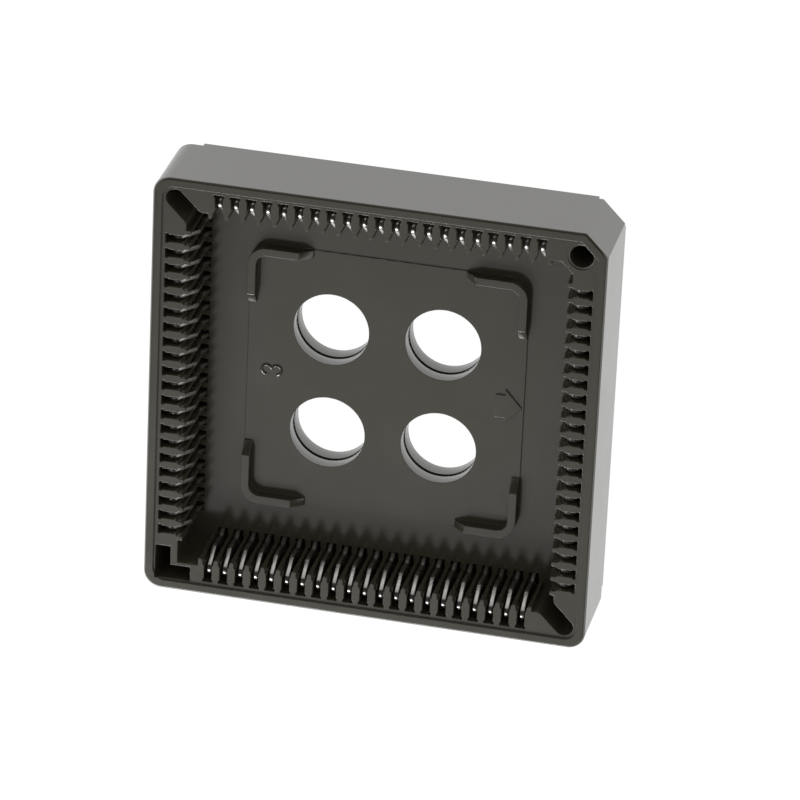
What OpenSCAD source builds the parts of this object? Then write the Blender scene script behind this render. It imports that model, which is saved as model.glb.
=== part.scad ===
// Chip-carrier socket: a square moulded housing with an open well, one row of spring contacts along
// each side, and a bottom plate that the straight tails pass through in two staggered rows a side.
// Z = 0 is the board face, +Z is the open side, and the keying chamfer is at +X +Y.

/* [Contact rows] */
// Contacts along each side
ways = 21; // [17:2:25]
// Pitch of the contacts along a side
pitch = 1.27; // [1.2:0.01:1.6]
// From the last half pitch of a row to the outer face
corner_w = 4.565; // [4.4:0.005:5]

/* [Contacts] */
// Thickness of the contact sheet
sheet_t = 0.35; // [0.25:0.01:0.45]
// Radius of the round nose on top of a contact
nose_r = 0.5; // [0.45:0.01:0.55]
// From the wall to the back of the nose
nose_gap = 0.41; // [0.3:0.01:0.45]
// Top of the nose below the rim
nose_drop = 0.6; // [0.5:0.05:0.9]
// Lead-in ramp of the spring, from the level
ramp_angle = 53; // [48:1:58]
// How far the spring's belly stands out past the rib tips
belly_out = 0.3; // [0.2:0.01:0.35]
// Height of the spring's belly above the chip rests
belly_h = 1.75; // [1.2:0.05:2]
// Width of the spring in its sheet
arm_w = 0.55; // [0.4:0.01:0.7]
// Width of a tail in its sheet
tail_w = 0.46; // [0.4:0.01:0.5]
// Length of the tails below the board face
tail_l = 3.2; // [2.5:0.1:4]
// Outer tail row, from the outer face inwards
tail_in = 2.66; // [2.4:0.01:2.8]
// Step from the outer tail row to the inner one
tail_step = 2.54; // [2.4:0.01:2.7]
// Height of the foot that carries an inner-row tail
foot_h = 0.8; // [0.6:0.05:1]

/* [Housing wall] */
// Height of the outer wall
wall_h = 7.1; // [6.4:0.1:9.2]
// Wall behind the contacts
wall_t = 1.04; // [0.95:0.01:1.3]
// Radius of the outer corners
corner_r = 1.4; // [1:0.1:1.6]
// Leg of the keying chamfer
key_leg = 1.8; // [1.5:0.1:2.2]
// Broken edge round the rim
rim_break = 0.15; // [0.05:0.01:0.2]
// Width of the raised rim
rim_w = 0.74; // [0.5:0.01:0.9]
// Step from the rim down to the ribs and corner blocks
rim_step = 0.2; // [0.1:0.05:0.3]
// Width of the relief under each corner
relief_w = 2.2; // [1.5:0.1:3]
// Height of that relief
relief_h = 0.4; // [0.2:0.05:0.5]

/* [Ribs] */
// Rib length from the wall to its tip
rib_l = 2.01; // [1.9:0.01:2.2]
// Rib thickness at the wall
rib_neck_t = 0.45; // [0.4:0.01:0.5]
// Rib thickness along its belly
rib_t = 0.65; // [0.6:0.01:0.7]
// Rib thickness at its round tip
rib_tip_t = 0.37; // [0.3:0.01:0.45]

/* [Floor] */
// Thickness of the floor
floor_t = 1.05; // [0.9:0.05:1.4]
// Height of the pad above the floor
pad_h = 0.1; // [0.05:0.05:0.3]
// Edge of the pad, from the outer face inwards
pad_in = 6.75; // [6.5:0.01:7]
// Depth of the slots under the contacts past the rib tips
slot_reach = 0.5; // [0.4:0.01:0.6]
// Width of those slots at the well
slot_mouth_w = 0.76; // [0.6:0.01:0.85]
// Diameter of the four round holes
hole_d = 6.06; // [5:0.02:6.4]
// Spacing of the round holes
hole_pitch = 8.98; // [8.5:0.02:9.4]

/* [Chip rests] */
// Width of the L-shaped chip rests
rest_w = 0.65; // [0.5:0.05:0.8]
// Height of the rests above the pad
rest_h = 0.95; // [0.6:0.05:1.2]
// Length of each arm
rest_l = 5.05; // [4.5:0.05:5.5]
// Length of the ramp at each arm's end
rest_ramp = 0.95; // [0.6:0.05:1.4]
// Height left at the foot of the ramp
rest_toe = 0.15; // [0.1:0.05:0.3]
// Outer radius of the rests and of the pad
rest_r = 1.5; // [1.2:0.05:2]

/* [Corner features] */
// Thickness of the corner blocks past the wall
block_l = 1.64; // [1.55:0.01:1.7]
// Width of the two extraction slots
tool_w = 1.5; // [1.3:0.05:1.6]
// Slot end centre, from both outer faces
tool_in = 1.75; // [1.7:0.05:1.9]
// Radius where a slot opens into the well
tool_mouth_r = 0.7; // [0.4:0.05:0.8]
// Diameter of the round index hole
index_d = 1.8; // [1.6:0.05:1.9]
// Index hole centre, from both outer faces
index_in = 2.1; // [2:0.05:2.2]
// Bevel round the index hole
index_bevel = 0.15; // [0.05:0.05:0.2]
// Wall between the index hole and the well
index_wall = 0.58; // [0.4:0.02:0.7]
// Outer edges of the L-shaped pocket, from the outer faces
nook_in = 0.9; // [0.8:0.01:1]
// Width of its arms
nook_w = 1.22; // [1:0.02:1.3]
// Length of its arms
nook_l = 2.85; // [2.4:0.05:3]
// Wall left at its bottom
nook_floor_t = 0.7; // [0.5:0.05:1]

/* [Bottom plate] */
// Thickness of the bottom plate
plate_t = 1.3; // [1:0.02:1.6]
// How far the plate stands out below the wall
standoff = 0.5; // [0.3:0.05:0.8]
// Gap between the floor and the plate round the holes
plate_gap = 0.35; // [0.2:0.05:0.5]
// Wall left round the plate
skirt_t = 1; // [0.8:0.05:1.2]

/* [Marks] */
// Height of the raised arrow and figure
mark_h = 0.12; // [0.05:0.01:0.2]
// Stroke width of the figure
mark_w = 0.16; // [0.12:0.01:0.24]

/* [Clearances] */
// Round each tail in the plate and each foot in its groove
tail_clear = 0.06; // [0.03:0.01:0.08]
// Between the plate and the wall round it
plate_clear = 0.1; // [0.03:0.01:0.15]
// Round the base of a contact in its slot
seat_clear = 0.02; // [0.01:0.01:0.04]

/* [Hidden] */
SIDES = ["right", "back", "left", "front"];
GROUPS = ceil(ways / 2);
function group_name(i, g) = str("contacts_", SIDES[i], "_", g < 9 ? "0" : "", g + 1);

PLASTIC = "#4e4b42";
SPRING = "#c9c6bd";

eps = 0.01;
over = 1;                                   // how far cutters run past what they cut
$fn = 64;
half_w = ways * pitch / 2 + corner_w;
row_w = ways * pitch;
floor_under = plate_t + plate_gap;
floor_z = floor_under + floor_t;
pad_z = floor_z + pad_h;
rest_z = pad_z + rest_h;
rim_z = standoff + wall_h;
rib_z = rim_z - rim_step;
rib_in = wall_t + rib_l;
block_in = wall_t + block_l;
slot_end = rib_in + slot_reach;
gap_in = slot_end + 0.35;
nose_in = wall_t + nose_gap + nose_r;
nose_z = rim_z - nose_drop - nose_r;
belly_in = rib_in + belly_out;
pad_w = half_w - pad_in;

// ---- helpers

// Draws for one side: x runs inwards from that side's outer face, y along the side
module on_side(i) {
    rotate(90 * i)
        translate([half_w, 0, 0])
            mirror([1, 0, 0])
                children();
}

// Points of an arc round c
function arc(c, r, a0, a1, n) =
    [for (i = [0:n]) let(a = a0 + (a1 - a0) * i / n) c + r * [cos(a), sin(a)]];

function mirrored_y(points) = [for (i = [len(points) - 1:-1:0]) [points[i][0], -points[i][1]]];

// Square outline, inset from the outer faces, with three round corners and the keying chamfer
module outline(inset) {
    w = half_w - inset;
    r = max(corner_r - inset * 0.6, 0.3);
    key = key_leg - inset * (2 - sqrt(2));
    difference() {
        square(2 * w, center = true);
        for (a = [90, 180, 270])
            rotate(a)
                translate([w - r, w - r])
                    difference() {
                        square(r + over);
                        circle(r);
                    }
        polygon([[w - key - over, w + over], [w + over, w + over], [w + over, w - key - over]]);
    }
}

module slab(inset, z0, z1) {
    translate([0, 0, z0])
        linear_extrude(z1 - z0)
            outline(inset);
}

module box(x0, x1, y0, y1, z0, z1) {
    translate([x0, y0, z0])
        cube([x1 - x0, y1 - y0, z1 - z0]);
}

// ---- housing

// Half of the space between two ribs, from the wall to the well
function pocket_half() = let(
    neck = (pitch - rib_neck_t) / 2,
    belly = (pitch - rib_t) / 2,
    tip = (pitch - rib_tip_t) / 2,
    tip_r = rib_tip_t / 2
) concat(
    [[wall_t, neck], [wall_t + 0.2, neck], [wall_t + 0.28, belly], [rib_in - 0.6, belly],
     [rib_in - 0.43, tip]],
    arc([rib_in - tip_r, pitch / 2], tip_r, -90, -18, 3)
);

// All the spaces of one side as one comb, closed inside the well
module comb() {
    cell = concat(mirrored_y(pocket_half()), pocket_half());
    teeth = [for (k = [0:ways - 1], p = cell) p + [0, (k - (ways - 1) / 2) * pitch]];
    polygon(concat([[rib_in + over, -row_w / 2 + eps]], teeth, [[rib_in + over, row_w / 2 - eps]]));
}

// The well: a square inside the rib tips, its corners out to the corner blocks, the spaces between
// the ribs and the two extraction slots. The corner at the index hole is cut across.
module well() {
    inner = half_w - rib_in;
    corner = half_w - block_in;
    from = row_w / 2 + rib_tip_t / 2;
    across = 2 * (half_w - index_in) - sqrt(2) * (index_d / 2 + index_wall);
    square(2 * inner, center = true);
    for (a = [0, 90, 180, 270])
        rotate(a)
            difference() {
                translate([from, from])
                    square(corner - from);
                if (a == 0)
                    polygon([[across - corner, corner], [corner, across - corner],
                             [corner + over, corner + over]]);
            }
    for (i = [0:3])
        on_side(i)
            comb();
    for (a = [135, -45])
        rotate(a)
            translate([(tool_in - half_w) * sqrt(2), 0])
                tool_slot();
}

// Slots through the floor under the contacts of one side
module floor_slots() {
    seat = sheet_t / 2 + seat_clear;
    mouth = slot_mouth_w / 2;
    for (k = [0:ways - 1])
        translate([0, (k - (ways - 1) / 2) * pitch])
            polygon([[wall_t, -seat], [rib_in - 0.6, -seat], [rib_in - 0.35, -mouth],
                     [slot_end, -mouth], [slot_end, mouth], [rib_in - 0.35, mouth],
                     [rib_in - 0.6, seat], [wall_t, seat]]);
}

// Grooves in the underside of the floor for the feet of the inner-row contacts of one side
module foot_grooves() {
    g = sheet_t / 2 + tail_clear;
    for (k = [0:ways - 1])
        if (!is_outer(k))
            translate([0, (k - (ways - 1) / 2) * pitch, 0])
                box(slot_end - eps, tail_in + tail_step + tail_w / 2 + 4 * tail_clear, -g, g,
                    plate_t - over, plate_t + foot_h + tail_clear);
}

// Prism that breaks a straight edge of length 2 * l, at distance d from the middle
module edge_prism(d, l) {
    c = rim_break;
    translate([0, l, 0])
        rotate([90, 0, 0])
            linear_extrude(2 * l)
                polygon([[d - c - eps, rim_z + eps], [d + eps, rim_z + eps],
                         [d + eps, rim_z - c - eps]]);
}

// Broken edge round the outside of the rim
module rim_edge() {
    r = corner_r;
    c = rim_break;
    for (i = [0:3])
        rotate(90 * i)
            edge_prism(half_w, half_w + over);
    rotate(45)
        edge_prism((2 * half_w - key_leg) / sqrt(2), key_leg);
    for (a = [90, 180, 270])
        rotate(a)
            translate([half_w - r, half_w - r, 0])
                rotate_extrude(angle = 90)
                    polygon([[r - c - eps, rim_z + eps], [r + over, rim_z + eps],
                             [r + over, rim_z - c - eps], [r + eps, rim_z - c - eps]]);
}

// Diagonal slot for an extraction tool, along +x from its round end into the well, with its two
// edges rounded where it meets the inner faces of the corner block
module tool_slot() {
    w = tool_w / 2;
    edge = (block_in - tool_in) * sqrt(2) + w;
    back = tool_mouth_r * tan(22.5);
    lip = arc([edge - back, w + tool_mouth_r], tool_mouth_r, -90, -45, 6);
    circle(w);
    polygon(concat([[0, w], [0, -w]], [for (p = lip) [p[0], -p[1]]],
                   [[edge + 2 * w, -w], [edge + 2 * w, w]], [for (j = [6:-1:0]) lip[j]]));
}

// L-shaped pocket in the corner at -X -Y, and the slope on its wall towards the well
module nook() {
    a = half_w - nook_in;
    z0 = plate_t + nook_floor_t;
    box(-a, -a + nook_w, -a, -a + nook_l, z0, rim_z + over);
    box(-a, -a + nook_l, -a, -a + nook_w, z0, rim_z + over);
    edge = half_w - nook_in - nook_w - 0.27;
    inner = half_w - block_in;
    translate([-row_w / 2 - rib_tip_t / 2, 0, 0])
        rotate([90, 0, -90])
            linear_extrude(inner - row_w / 2 - rib_tip_t / 2)
                polygon([[edge, rib_z + eps], [inner - eps, rib_z - 1], [inner - eps, rib_z + eps]]);
}

// Raised pad and the four chip rests on it
module pad() {
    translate([0, 0, floor_z - eps])
        linear_extrude(pad_h + eps)
            rounded(pad_w, rest_r);
    foot = pad_w - rest_l;
    intersection() {
        difference() {
            translate([0, 0, floor_z - eps])
                linear_extrude(rest_z - floor_z + eps)
                    difference() {
                        rounded(pad_w, rest_r);
                        rounded(pad_w - rest_w, rest_r - rest_w);
                    }
            for (a = [0, 90])
                rotate([90, 0, a])
                    linear_extrude(2 * half_w, center = true)
                        polygon([[-foot, floor_z - over], [foot, floor_z - over],
                                 [foot, pad_z + rest_toe], [foot + rest_ramp, rest_z],
                                 [foot + rest_ramp, rest_z + over], [-foot - rest_ramp, rest_z + over],
                                 [-foot - rest_ramp, rest_z], [-foot, pad_z + rest_toe]]);
        }
        box(-half_w, half_w, -half_w, half_w, floor_z - eps, rest_z);
    }
}

module rounded(w, r) {
    square([2 * w, 2 * (w - r)], center = true);
    square([2 * (w - r), 2 * w], center = true);
    for (x = [-1, 1], y = [-1, 1])
        translate([x * (w - r), y * (w - r)])
            circle(r);
}

// Raised marks on the pad: an arrow towards the middle contact of the first row, and a figure
module marks() {
    translate([0, 0, pad_z - eps])
        linear_extrude(mark_h + eps) {
            tip = pad_w - 0.15;
            polygon([[tip, 0], [tip - 1.35, 1.5], [tip - 1.35, 0.98], [tip - 2.1, 0.98],
                     [tip - 2.1, -0.98], [tip - 1.35, -0.98], [tip - 1.35, -1.5]]);
            translate([-pad_w + 2, 0.32])
                rotate(90)
                    figure_three();
        }
}

// A plain figure 3, about as tall as ten stroke widths
module figure_three() {
    for (y = [-0.4, 0.4])
        translate([0, y])
            difference() {
                circle(0.4 + mark_w / 2);
                circle(0.4 - mark_w / 2);
                translate([-over - 0.1, y < 0 ? 0 : -over])
                    square([over + 0.1, over]);
            }
}

module round_holes(z0, z1) {
    for (x = [-1, 1], y = [-1, 1])
        translate([x * hole_pitch / 2, y * hole_pitch / 2, z0])
            cylinder(h = z1 - z0, d = hole_d);
}

module housing() {
    index = half_w - index_in;
    color(PLASTIC) {
        difference() {
            slab(0, standoff, rim_z);
            rim_edge();
            slab(rim_w, rib_z, rim_z + over);
            slab(skirt_t, standoff - over, plate_t);
            slab(gap_in, plate_t - over, floor_under);
            translate([0, 0, floor_z])
                linear_extrude(wall_h)
                    well();
            for (i = [0:3])
                on_side(i) {
                    translate([0, 0, plate_t - over])
                        linear_extrude(floor_t + plate_gap + 2 * over)
                            floor_slots();
                    foot_grooves();
                }
            translate([index, index, floor_z])
                cylinder(h = wall_h, d = index_d);
            translate([index, index, rib_z - index_bevel])
                cylinder(h = 2 * index_bevel, d1 = index_d, d2 = index_d + 4 * index_bevel);
            nook();
            for (a = [0, 90, 180, 270])
                rotate(a)
                    box(half_w - relief_w, half_w + over, half_w - relief_w, half_w + over,
                        standoff - over, standoff + relief_h);
            round_holes(standoff, rim_z);
        }
        difference() {
            union() {
                pad();
                marks();
            }
            round_holes(standoff, rim_z);
        }
    }
}

// ---- bottom plate

module bottom_plate() {
    hole_t = sheet_t / 2 + tail_clear;
    hole_w = tail_w / 2 + tail_clear;
    color(PLASTIC)
        difference() {
            slab(skirt_t + plate_clear, 0, plate_t);
            round_holes(-over, plate_t + over);
            for (i = [0:3])
                on_side(i)
                    for (k = [0:ways - 1])
                        translate([tail_at(k), (k - (ways - 1) / 2) * pitch, 0])
                            box(-hole_w, hole_w, -hole_t, hole_t, -over, plate_t + over);
        }
}

// ---- contacts, stamped edge-on from sheet; every second one has its tail in the inner row

function is_outer(k) = k % 2 == 0;
function tail_at(k) = is_outer(k) ? tail_in : tail_in + tail_step;

// Spring: up the well side of the slot, out to the belly, back up the ramp and over the nose
module spring_outline() {
    nose = [nose_in, nose_z];
    normal = [sin(ramp_angle), cos(ramp_angle)];
    slope = [cos(ramp_angle), -sin(ramp_angle)];
    top = nose + nose_r * normal;
    run = (belly_in - top[0]) / slope[0];
    belly = top + run * slope;
    root = slot_end - seat_clear;
    low = rest_z + belly_h;
    bend = belly - arm_w * [1, 0] + [0, -0.25];
    polygon(concat(
        [[wall_t + 0.9, floor_z - 0.1], [root, floor_z - 0.1], [root, floor_z + 0.1],
         [belly_in - 0.15, floor_z + 0.8], [belly_in, low - 1.2], [belly_in, belly[1] - 0.15],
         belly + [-0.07, 0.05]],
        arc(nose, nose_r, 90 - ramp_angle, 180 + 60, 16),
        [[nose_in - 0.05, nose_z - nose_r - 0.15], bend, [belly_in - arm_w, low - 1.2],
         [wall_t + 0.9, floor_z + 0.7]]
    ));
}

// Base of a contact, held in its slot in the floor, with its tail
module base_outline(outer) {
    z0 = plate_t + 0.05;
    x0 = wall_t + seat_clear;
    x1 = slot_end - seat_clear;
    at = outer ? tail_in : tail_in + tail_step;
    t = tail_w / 2;
    polygon([[x0, z0], [x1, z0], [x1, floor_z - 0.1], [x0, floor_z - 0.1]]);
    if (!outer)
        polygon([[x1 - 0.5, z0], [at + t, z0], [at + t, plate_t + foot_h - 0.15],
                 [at + t - 0.15, plate_t + foot_h], [x1 - 0.5, plate_t + foot_h]]);
    polygon([[at - t, z0 + 0.1], [at - t, 0.4 - tail_l], [at - 0.12, -tail_l],
             [at + 0.12, -tail_l], [at + t, 0.4 - tail_l], [at + t, z0 + 0.1]]);
}

module contact(i, k) {
    on_side(i)
        translate([0, (k - (ways - 1) / 2) * pitch, 0])
            rotate([90, 0, 0])
                linear_extrude(sheet_t, center = true) {
                    spring_outline();
                    base_outline(is_outer(k));
                }
}

// Two neighbours, one of each kind; the last group of a side has one
module contact_group(i, g) {
    color(SPRING)
        for (k = [2 * g, 2 * g + 1])
            if (k < ways)
                contact(i, k);
}

housing();
bottom_plate();
for (i = [0:3], g = [0:GROUPS - 1])
    contact_group(i, g);
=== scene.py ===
import math

import bmesh
import bpy
from mathutils import Matrix, Vector


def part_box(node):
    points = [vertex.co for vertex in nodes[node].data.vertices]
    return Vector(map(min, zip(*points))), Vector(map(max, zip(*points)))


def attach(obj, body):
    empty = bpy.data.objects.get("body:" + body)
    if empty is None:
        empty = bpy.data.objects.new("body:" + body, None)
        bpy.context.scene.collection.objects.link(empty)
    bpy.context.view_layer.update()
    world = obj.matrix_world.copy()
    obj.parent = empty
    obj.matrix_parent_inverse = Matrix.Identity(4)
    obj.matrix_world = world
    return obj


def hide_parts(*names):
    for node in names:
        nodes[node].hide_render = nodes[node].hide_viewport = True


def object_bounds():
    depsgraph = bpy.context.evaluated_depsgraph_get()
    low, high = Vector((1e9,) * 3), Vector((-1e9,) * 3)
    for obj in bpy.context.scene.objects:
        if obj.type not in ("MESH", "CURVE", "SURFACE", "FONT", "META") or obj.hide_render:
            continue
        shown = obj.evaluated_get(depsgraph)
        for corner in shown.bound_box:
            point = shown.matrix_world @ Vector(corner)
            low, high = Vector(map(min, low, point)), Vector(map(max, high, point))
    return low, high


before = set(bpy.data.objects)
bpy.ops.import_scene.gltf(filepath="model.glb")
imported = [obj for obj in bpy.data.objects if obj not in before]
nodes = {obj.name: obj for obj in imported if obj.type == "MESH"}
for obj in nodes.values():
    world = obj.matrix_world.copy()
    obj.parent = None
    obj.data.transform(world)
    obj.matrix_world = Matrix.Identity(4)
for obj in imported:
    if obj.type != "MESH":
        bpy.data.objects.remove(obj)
cad_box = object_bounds()
MM = 0.001


# ---- Camera
# A long lens looks down into the well from behind the chamfered corner, slightly rolled.
CAMERA_AT = Vector((85.8, 203.74, 402.62)) * MM
CAMERA_RIGHT = Vector((0.97306, 0.04125, -0.22685))
CAMERA_DOWN = Vector((0.13761, -0.89334, 0.42780))
CAMERA_LENS = 262.4
SENSOR_WIDTH = 36

lens = bpy.data.cameras.new("camera")
lens.lens = CAMERA_LENS
lens.sensor_width = SENSOR_WIDTH
lens.clip_start = 0.05
lens.clip_end = 20
camera = bpy.data.objects.new("camera", lens)
bpy.context.scene.collection.objects.link(camera)
axes = Matrix((CAMERA_RIGHT, -CAMERA_DOWN, -CAMERA_RIGHT.cross(CAMERA_DOWN))).transposed()
camera.matrix_world = Matrix.Translation(CAMERA_AT) @ axes.to_4x4()
bpy.context.scene.camera = camera


# ---- Housing and bottom plate
# Two mouldings of dark olive, mineral-filled thermoplastic, with a satin skin, a very fine grain from the
# mould and a slight mottle where the filler shows. The plate closes the housing from below, with a thin
# gap that shows inside the four round holes.

def new_material(name):
    material = bpy.data.materials.new(name)
    material.use_nodes = True
    tree = material.node_tree
    tree.nodes.clear()
    return material, tree


def node(tree, kind, **values):
    made = tree.nodes.new(kind)
    for key, value in values.items():
        if key in made.inputs:
            made.inputs[key].default_value = value
        else:
            setattr(made, key, value)
    return made


PLASTIC_DARK = (0.060, 0.0525, 0.033)
PLASTIC_PALE = (0.078, 0.069, 0.045)
PLASTIC_ROUGHNESS = 0.17
PLASTIC_IOR = 2.3
PLASTIC_SPREAD = 0.06
MOTTLE_SCALE = 260.0
GRAIN_SCALE = 5200.0
GRAIN_DEPTH = 0.01 * MM
PLASTIC_GRAIN = 0.25


def plastic_material(name, dark, pale, roughness):
    material, tree = new_material(name)
    link = tree.links.new
    place = node(tree, "ShaderNodeTexCoord")
    mottle = node(tree, "ShaderNodeTexNoise", Scale=MOTTLE_SCALE, Detail=5.0, Roughness=0.6)
    grain = node(tree, "ShaderNodeTexNoise", Scale=GRAIN_SCALE, Detail=3.0, Roughness=0.55)
    colour = node(tree, "ShaderNodeMix", data_type="RGBA")
    colour.inputs["A"].default_value = (*dark, 1)
    colour.inputs["B"].default_value = (*pale, 1)
    rough = node(tree, "ShaderNodeMapRange")
    rough.inputs["To Min"].default_value = roughness - PLASTIC_SPREAD
    rough.inputs["To Max"].default_value = roughness + PLASTIC_SPREAD
    bump = node(tree, "ShaderNodeBump", Strength=PLASTIC_GRAIN, Distance=GRAIN_DEPTH)
    shader = node(tree, "ShaderNodeBsdfPrincipled", IOR=PLASTIC_IOR)
    out = node(tree, "ShaderNodeOutputMaterial")
    link(place.outputs["Object"], mottle.inputs["Vector"])
    link(place.outputs["Object"], grain.inputs["Vector"])
    link(mottle.outputs["Fac"], colour.inputs["Factor"])
    link(mottle.outputs["Fac"], rough.inputs["Value"])
    link(grain.outputs["Fac"], bump.inputs["Height"])
    link(colour.outputs["Result"], shader.inputs["Base Color"])
    link(rough.outputs["Result"], shader.inputs["Roughness"])
    link(bump.outputs["Normal"], shader.inputs["Normal"])
    link(shader.outputs["BSDF"], out.inputs["Surface"])
    return material


housing_plastic = plastic_material("housing_plastic", PLASTIC_DARK, PLASTIC_PALE, PLASTIC_ROUGHNESS)
HOUSING_EDGE = 0.035 * MM
SHARP = math.radians(32)
FLAT = math.radians(0.5)
SAME_POINT = 0.0005 * MM


def rounded_copy(source, name, edge, keep=None):
    """A copy of a CAD node's mesh with its flat faces merged and its sharp edges rounded."""
    mesh = bpy.data.meshes.new(name)
    bm = bmesh.new()
    bm.from_mesh(source.data)
    bmesh.ops.remove_doubles(bm, verts=bm.verts, dist=SAME_POINT)
    if keep:
        bmesh.ops.delete(bm, geom=[v for v in bm.verts if not keep(v.co)], context="VERTS")
    bmesh.ops.dissolve_limit(bm, angle_limit=FLAT, verts=bm.verts, edges=bm.edges)
    bm.to_mesh(mesh)
    bm.free()
    mesh.shade_smooth()
    piece = bpy.data.objects.new(name, mesh)
    bpy.context.scene.collection.objects.link(piece)
    bevel = piece.modifiers.new("edges", "BEVEL")
    bevel.width = edge
    bevel.segments = 2
    bevel.limit_method = "ANGLE"
    bevel.angle_limit = SHARP
    bevel.use_clamp_overlap = False
    flatten = piece.modifiers.new("flat faces stay flat", "WEIGHTED_NORMAL")
    flatten.keep_sharp = True
    flat = piece.evaluated_get(bpy.context.evaluated_depsgraph_get())
    solid = bpy.data.meshes.new_from_object(flat)
    piece.modifiers.clear()
    piece.data = solid
    solid.name = name
    solid.materials.clear()
    return piece


for name in ("housing", "bottom_plate"):
    piece = rounded_copy(nodes[name], name + "_moulding", HOUSING_EDGE)
    piece.data.materials.append(housing_plastic)
    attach(piece, "root")
    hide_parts(name)


# ---- Contacts
# Each is stamped edge-on from copper alloy sheet and tin plated, bright and slightly cloudy. Its base
# stands in a slot of the floor, and its tail passes through the bottom plate in one of two rows by turns.
CONTACT_COLOUR = (0.84, 0.82, 0.785)
CONTACT_ROUGHNESS = 0.28
CONTACT_EDGE = 0.06 * MM
PLATING_SCALE = 1800.0
PLATING_DULL = 0.86
PLATING_SMOOTHER = 0.07
PLATING_ROUGHER = 0.08
PLATING_GRAIN = 0.15
SIDES = ("right", "back", "left", "front")


def metal_material(name, colour, roughness):
    material, tree = new_material(name)
    link = tree.links.new
    place = node(tree, "ShaderNodeTexCoord")
    cloud = node(tree, "ShaderNodeTexNoise", Scale=PLATING_SCALE, Detail=4.0)
    tint = node(tree, "ShaderNodeMix", data_type="RGBA")
    tint.inputs["A"].default_value = (*[c * PLATING_DULL for c in colour], 1)
    tint.inputs["B"].default_value = (*colour, 1)
    rough = node(tree, "ShaderNodeMapRange")
    rough.inputs["To Min"].default_value = roughness - PLATING_SMOOTHER
    rough.inputs["To Max"].default_value = roughness + PLATING_ROUGHER
    bump = node(tree, "ShaderNodeBump", Strength=PLATING_GRAIN, Distance=GRAIN_DEPTH)
    shader = node(tree, "ShaderNodeBsdfPrincipled", Metallic=1.0)
    out = node(tree, "ShaderNodeOutputMaterial")
    link(place.outputs["Object"], cloud.inputs["Vector"])
    link(cloud.outputs["Fac"], tint.inputs["Factor"])
    link(cloud.outputs["Fac"], rough.inputs["Value"])
    link(cloud.outputs["Fac"], bump.inputs["Height"])
    link(tint.outputs["Result"], shader.inputs["Base Color"])
    link(rough.outputs["Result"], shader.inputs["Roughness"])
    link(bump.outputs["Normal"], shader.inputs["Normal"])
    link(shader.outputs["BSDF"], out.inputs["Surface"])
    return material


contact_metal = metal_material("contact_metal", CONTACT_COLOUR, CONTACT_ROUGHNESS)

first_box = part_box("contacts_right_01")
last_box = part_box("contacts_right_11")
sheet = last_box[1].y - last_box[0].y
ways = 2 * sum(name.startswith("contacts_right_") for name in nodes) - 1
pitch = (last_box[1].y - first_box[0].y - sheet) / (ways - 1)
between = first_box[0].y + sheet / 2 + pitch / 2
first_pair = nodes["contacts_right_01"]
outer_blade = rounded_copy(first_pair, "blade_outer_tail", CONTACT_EDGE, lambda p: p.y < between)
inner_blade = rounded_copy(first_pair, "blade_inner_tail", CONTACT_EDGE, lambda p: p.y > between)


def contact_row_tree():
    """Two rows of blades, each every second pitch, turned to their side of the socket."""
    tree = bpy.data.node_groups.new("contact_row", "GeometryNodeTree")
    kinds = {"First blade": "NodeSocketObject", "Second blade": "NodeSocketObject",
             "First count": "NodeSocketInt", "Second count": "NodeSocketInt",
             "Step": "NodeSocketVector", "Turn": "NodeSocketVector", "Metal": "NodeSocketMaterial"}
    tree.interface.new_socket("Geometry", in_out="INPUT", socket_type="NodeSocketGeometry")
    for name, kind in kinds.items():
        tree.interface.new_socket(name, in_out="INPUT", socket_type=kind)
    tree.interface.new_socket("Geometry", in_out="OUTPUT", socket_type="NodeSocketGeometry")
    link = tree.links.new
    given = tree.nodes.new("NodeGroupInput")
    both = tree.nodes.new("GeometryNodeJoinGeometry")
    for blade, count in (("First blade", "First count"), ("Second blade", "Second count")):
        line = tree.nodes.new("GeometryNodeMeshLine")
        line.mode = "OFFSET"
        seen = tree.nodes.new("GeometryNodeObjectInfo")
        put = tree.nodes.new("GeometryNodeInstanceOnPoints")
        link(given.outputs[count], line.inputs["Count"])
        link(given.outputs["Step"], line.inputs["Offset"])
        link(given.outputs[blade], seen.inputs["Object"])
        link(line.outputs["Mesh"], put.inputs["Points"])
        link(seen.outputs["Geometry"], put.inputs["Instance"])
        link(put.outputs["Instances"], both.inputs["Geometry"])
    turn = tree.nodes.new("GeometryNodeTransform")
    real = tree.nodes.new("GeometryNodeRealizeInstances")
    plate = tree.nodes.new("GeometryNodeSetMaterial")
    out = tree.nodes.new("NodeGroupOutput")
    link(both.outputs["Geometry"], turn.inputs["Geometry"])
    link(given.outputs["Turn"], turn.inputs["Rotation"])
    link(turn.outputs["Geometry"], real.inputs["Geometry"])
    link(real.outputs["Geometry"], plate.inputs["Geometry"])
    link(given.outputs["Metal"], plate.inputs["Material"])
    link(plate.outputs["Geometry"], out.inputs["Geometry"])
    return tree


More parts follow.
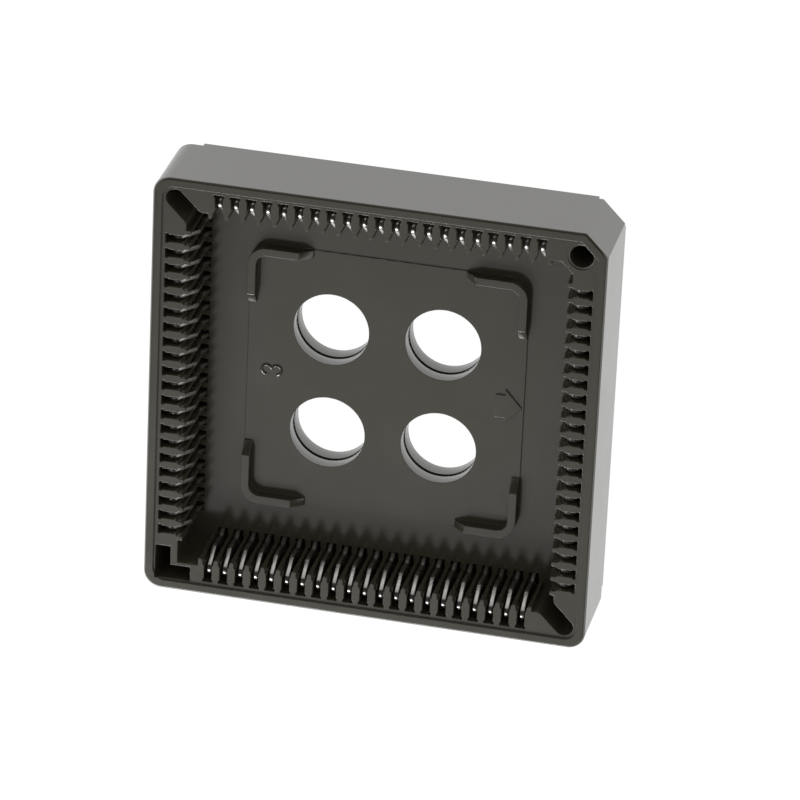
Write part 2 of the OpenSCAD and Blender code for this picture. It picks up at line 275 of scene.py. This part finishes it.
row_tree = contact_row_tree()
sockets = {item.name: item.identifier for item in row_tree.interface.items_tree if item.in_out == "INPUT"}
for i, side in enumerate(SIDES):
    row = bpy.data.objects.new("contact_row_" + side, bpy.data.meshes.new("contact_row_" + side))
    bpy.context.scene.collection.objects.link(row)
    rule = row.modifiers.new("row", "NODES")
    rule.node_group = row_tree
    settings = {"First blade": outer_blade, "Second blade": inner_blade, "First count": ways // 2 + 1,
                "Second count": ways // 2, "Step": (0, 2 * pitch, 0), "Turn": (0, 0, i * math.pi / 2),
                "Metal": contact_metal}
    for label, value in settings.items():
        rule[sockets[label]] = value
    plain = bpy.data.meshes.new_from_object(row.evaluated_get(bpy.context.evaluated_depsgraph_get()))
    row.modifiers.remove(rule)
    row.data = plain
    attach(row, "root")
    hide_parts(*[name for name in nodes if name.startswith("contacts_" + side)])
for blade in (outer_blade, inner_blade):
    bpy.data.objects.remove(blade)


# ---- Floor and light
# A plain pale floor under the tails, a bright surround and two soft lamps. The floor glows for direct
# views, so that it looks white, and keeps a faint shadow of the socket.
FLOOR_SIZE = 3.0
SHADOW_SHARE = 0.1
FLOOR_GLOW = 0.985
FLOOR_PALE = 0.8

floor_z = cad_box[0][2]
floor_mesh = bpy.data.meshes.new("floor")
reach = FLOOR_SIZE / 2
floor_corners = [(x * reach, y * reach, floor_z) for x, y in ((-1, -1), (1, -1), (1, 1), (-1, 1))]
floor_mesh.from_pydata(floor_corners, [], [(0, 1, 2, 3)])
floor = bpy.data.objects.new("floor", floor_mesh)
bpy.context.scene.collection.objects.link(floor)


def seen_directly(tree):
    """1 for camera, glossy and transmission rays, else 0."""
    path = node(tree, "ShaderNodeLightPath")
    first = node(tree, "ShaderNodeMath", operation="MAXIMUM")
    second = node(tree, "ShaderNodeMath", operation="MAXIMUM")
    tree.links.new(path.outputs["Is Camera Ray"], first.inputs[0])
    tree.links.new(path.outputs["Is Glossy Ray"], first.inputs[1])
    tree.links.new(first.outputs[0], second.inputs[0])
    tree.links.new(path.outputs["Is Transmission Ray"], second.inputs[1])
    return second.outputs[0]


pale, tree = new_material("pale_floor")
soft = node(tree, "ShaderNodeBsdfDiffuse", Color=(FLOOR_PALE, FLOOR_PALE, FLOOR_PALE, 1))
shade = node(tree, "ShaderNodeBsdfDiffuse", Color=(SHADOW_SHARE, SHADOW_SHARE, SHADOW_SHARE, 1))
glow = node(tree, "ShaderNodeEmission", Strength=FLOOR_GLOW)
both = node(tree, "ShaderNodeAddShader")
pick = node(tree, "ShaderNodeMixShader")
out = node(tree, "ShaderNodeOutputMaterial")
tree.links.new(shade.outputs[0], both.inputs[0])
tree.links.new(glow.outputs[0], both.inputs[1])
tree.links.new(seen_directly(tree), pick.inputs[0])
tree.links.new(soft.outputs[0], pick.inputs[1])
tree.links.new(both.outputs[0], pick.inputs[2])
tree.links.new(pick.outputs[0], out.inputs["Surface"])
floor_mesh.materials.append(pale)

world = bpy.data.worlds.new("surround")
bpy.context.scene.world = world
world.use_nodes = True
tree = world.node_tree
tree.nodes.clear()
# Diffuse rays see an even fill. Glossy rays see a surround that is bright at the level and dark above.
WORLD_DIFFUSE = 0.45
WORLD_LEVEL = 1.0
WORLD_ABOVE = 0.02
LEVEL_BASE = 0.1
LEVEL_TOP = 0.5
path = node(tree, "ShaderNodeLightPath")
place = node(tree, "ShaderNodeTexCoord")
height = node(tree, "ShaderNodeSeparateXYZ")
gloss = node(tree, "ShaderNodeMapRange", interpolation_type="SMOOTHSTEP")
gloss.inputs["From Min"].default_value = LEVEL_BASE
gloss.inputs["From Max"].default_value = LEVEL_TOP
gloss.inputs["To Min"].default_value = WORLD_LEVEL
gloss.inputs["To Max"].default_value = WORLD_ABOVE
level = node(tree, "ShaderNodeMix", data_type="FLOAT")
level.inputs["A"].default_value = WORLD_DIFFUSE
most = node(tree, "ShaderNodeMath", operation="MAXIMUM")
sky = node(tree, "ShaderNodeBackground")
out = node(tree, "ShaderNodeOutputWorld")
tree.links.new(place.outputs["Generated"], height.inputs[0])
tree.links.new(height.outputs["Z"], gloss.inputs["Value"])
tree.links.new(path.outputs["Is Glossy Ray"], level.inputs["Factor"])
tree.links.new(gloss.outputs["Result"], level.inputs["B"])
tree.links.new(level.outputs["Result"], most.inputs[0])
tree.links.new(path.outputs["Is Camera Ray"], most.inputs[1])
tree.links.new(most.outputs[0], sky.inputs["Strength"])
tree.links.new(sky.outputs[0], out.inputs["Surface"])


def soft_lamp(name, at, size, watts):
    data = bpy.data.lights.new(name, "AREA")
    data.shape = "SQUARE"
    data.size = size
    data.energy = watts
    lamp = bpy.data.objects.new(name, data)
    bpy.context.scene.collection.objects.link(lamp)
    lamp.location = at
    lamp.rotation_euler = (-Vector(at)).to_track_quat("-Z", "Y").to_euler()


KEY_WATTS = 2.1
KEY_SIZE = 0.35
KEY_AT = (-0.22, -0.55, 0.42)
soft_lamp("key_lamp", KEY_AT, KEY_SIZE, KEY_WATTS)
# Weak, and steeper than the key: its reflection gives the floor of the well a low sheen.
SHEEN_WATTS = 0.02
SHEEN_SIZE = 0.16
SHEEN_AT = (-0.14, -0.33, 0.62)
soft_lamp("sheen_lamp", SHEEN_AT, SHEEN_SIZE, SHEEN_WATTS)

scene = bpy.context.scene
scene.view_settings.view_transform = "Standard"
